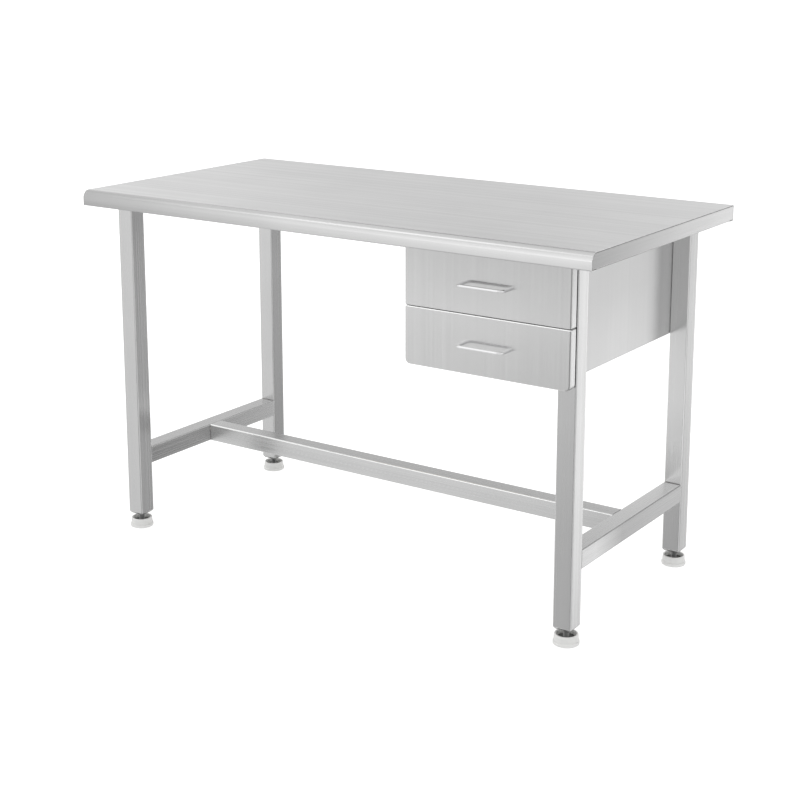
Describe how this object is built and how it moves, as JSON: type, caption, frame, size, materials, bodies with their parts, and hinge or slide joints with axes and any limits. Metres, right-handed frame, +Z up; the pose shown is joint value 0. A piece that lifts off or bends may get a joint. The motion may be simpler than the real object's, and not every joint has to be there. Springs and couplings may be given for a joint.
{
  "type": "work table",
  "caption": "Stainless steel work table with a round-nosed worktop, H-frame rails, levelling feet and two drawers under its right end.",
  "frame": {"origin": "on the floor, under the middle of the worktop", "axes": "+X to the right along the length, +Y towards the back, +Z up; the drawers open towards -Y"},
  "size_m": [1.2, 0.6, 0.75],
  "materials": {
    "worktop_steel": "fine brushed satin, grain along the length",
    "tube_steel": "satin tube, grain along the tube",
    "plug_steel": "satin",
    "mill_steel": "dull mill finish",
    "housing_steel": "satin sheet",
    "drawer_front_steel": "fine brushed satin",
    "tray_steel": "smooth satin sheet",
    "slide_steel": "bright zinc plate",
    "handle_steel": "polished rod",
    "fastener_steel": "bright",
    "stud_steel": "dull zinc plate",
    "foot_nylon": "white nylon, faintly translucent",
    "bumper_rubber": "matt",
    "board": "grey-brown laminated particle board"
  },
  "bodies": {
    "frame": {"top_sheet": "worktop_steel", "end_plate_left": "worktop_steel", "end_plate_right": "worktop_steel", "underlay_board": "board", "cross_channel_left": "mill_steel", "cross_channel_right": "mill_steel", "long_channel_front": "mill_steel", "long_channel_back": "mill_steel", "channel_screws": "fastener_steel", "leg_front_left": "tube_steel", "leg_front_right": "tube_steel", "leg_back_left": "tube_steel", "leg_back_right": "tube_steel", "leg_sockets": "mill_steel", "leg_bolts": "fastener_steel", "leg_plugs": "plug_steel", "side_rail_left": "tube_steel", "side_rail_right": "tube_steel", "stretcher": "tube_steel", "housing_side_left": "housing_steel", "housing_side_right": "housing_steel", "housing_back": "housing_steel", "housing_base": "housing_steel", "housing_top_tie": "housing_steel", "housing_mid_tie": "housing_steel", "housing_screws": "fastener_steel", "drawer_bumpers": "bumper_rubber", "slide_outer_upper_left": "slide_steel", "slide_outer_upper_right": "slide_steel", "slide_outer_lower_left": "slide_steel", "slide_outer_lower_right": "slide_steel"},
    "upper_drawer": {"front_pan_upper": "drawer_front_steel", "front_liner_upper": "housing_steel", "tray_upper": "tray_steel", "tray_screws_upper": "fastener_steel", "handle_upper": "handle_steel", "handle_screws_upper": "fastener_steel", "slide_inner_upper_left": "slide_steel", "slide_inner_upper_right": "slide_steel"},
    "lower_drawer": {"front_pan_lower": "drawer_front_steel", "front_liner_lower": "housing_steel", "tray_lower": "tray_steel", "tray_screws_lower": "fastener_steel", "handle_lower": "handle_steel", "handle_screws_lower": "fastener_steel", "slide_inner_lower_left": "slide_steel", "slide_inner_lower_right": "slide_steel"},
    "upper_slide": {"slide_middle_upper_left": "slide_steel", "slide_middle_upper_right": "slide_steel"},
    "lower_slide": {"slide_middle_lower_left": "slide_steel", "slide_middle_lower_right": "slide_steel"},
    "foot_front_left": {"foot_base_front_left": "foot_nylon", "foot_stud_front_left": "stud_steel"},
    "foot_front_right": {"foot_base_front_right": "foot_nylon", "foot_stud_front_right": "stud_steel"},
    "foot_back_left": {"foot_base_back_left": "foot_nylon", "foot_stud_back_left": "stud_steel"},
    "foot_back_right": {"foot_base_back_right": "foot_nylon", "foot_stud_back_right": "stud_steel"}
  },
  "joints": [
    {"name": "upper_drawer_slide", "type": "slide", "parent": "frame", "child": "upper_drawer", "axis": [0, -1, 0], "range_m": [0, 0.4]},
    {"name": "upper_slide_travel", "type": "slide", "parent": "frame", "child": "upper_slide", "axis": [0, -1, 0], "range_m": [0, 0.2]},
    {"name": "lower_drawer_slide", "type": "slide", "parent": "frame", "child": "lower_drawer", "axis": [0, -1, 0], "range_m": [0, 0.4]},
    {"name": "lower_slide_travel", "type": "slide", "parent": "frame", "child": "lower_slide", "axis": [0, -1, 0], "range_m": [0, 0.2]},
    {"name": "foot_front_left_height", "type": "slide", "parent": "frame", "child": "foot_front_left", "axis": [0, 0, -1], "range_m": [-0.008, 0.015]},
    {"name": "foot_front_right_height", "type": "slide", "parent": "frame", "child": "foot_front_right", "axis": [0, 0, -1], "range_m": [-0.008, 0.015]},
    {"name": "foot_back_left_height", "type": "slide", "parent": "frame", "child": "foot_back_left", "axis": [0, 0, -1], "range_m": [-0.008, 0.015]},
    {"name": "foot_back_right_height", "type": "slide", "parent": "frame", "child": "foot_back_right", "axis": [0, 0, -1], "range_m": [-0.008, 0.015]}
  ],
  "couplings": [
    {"joint": "upper_slide_travel", "follows": "upper_drawer_slide", "ratio": 0.5},
    {"joint": "lower_slide_travel", "follows": "lower_drawer_slide", "ratio": 0.5}
  ]
}
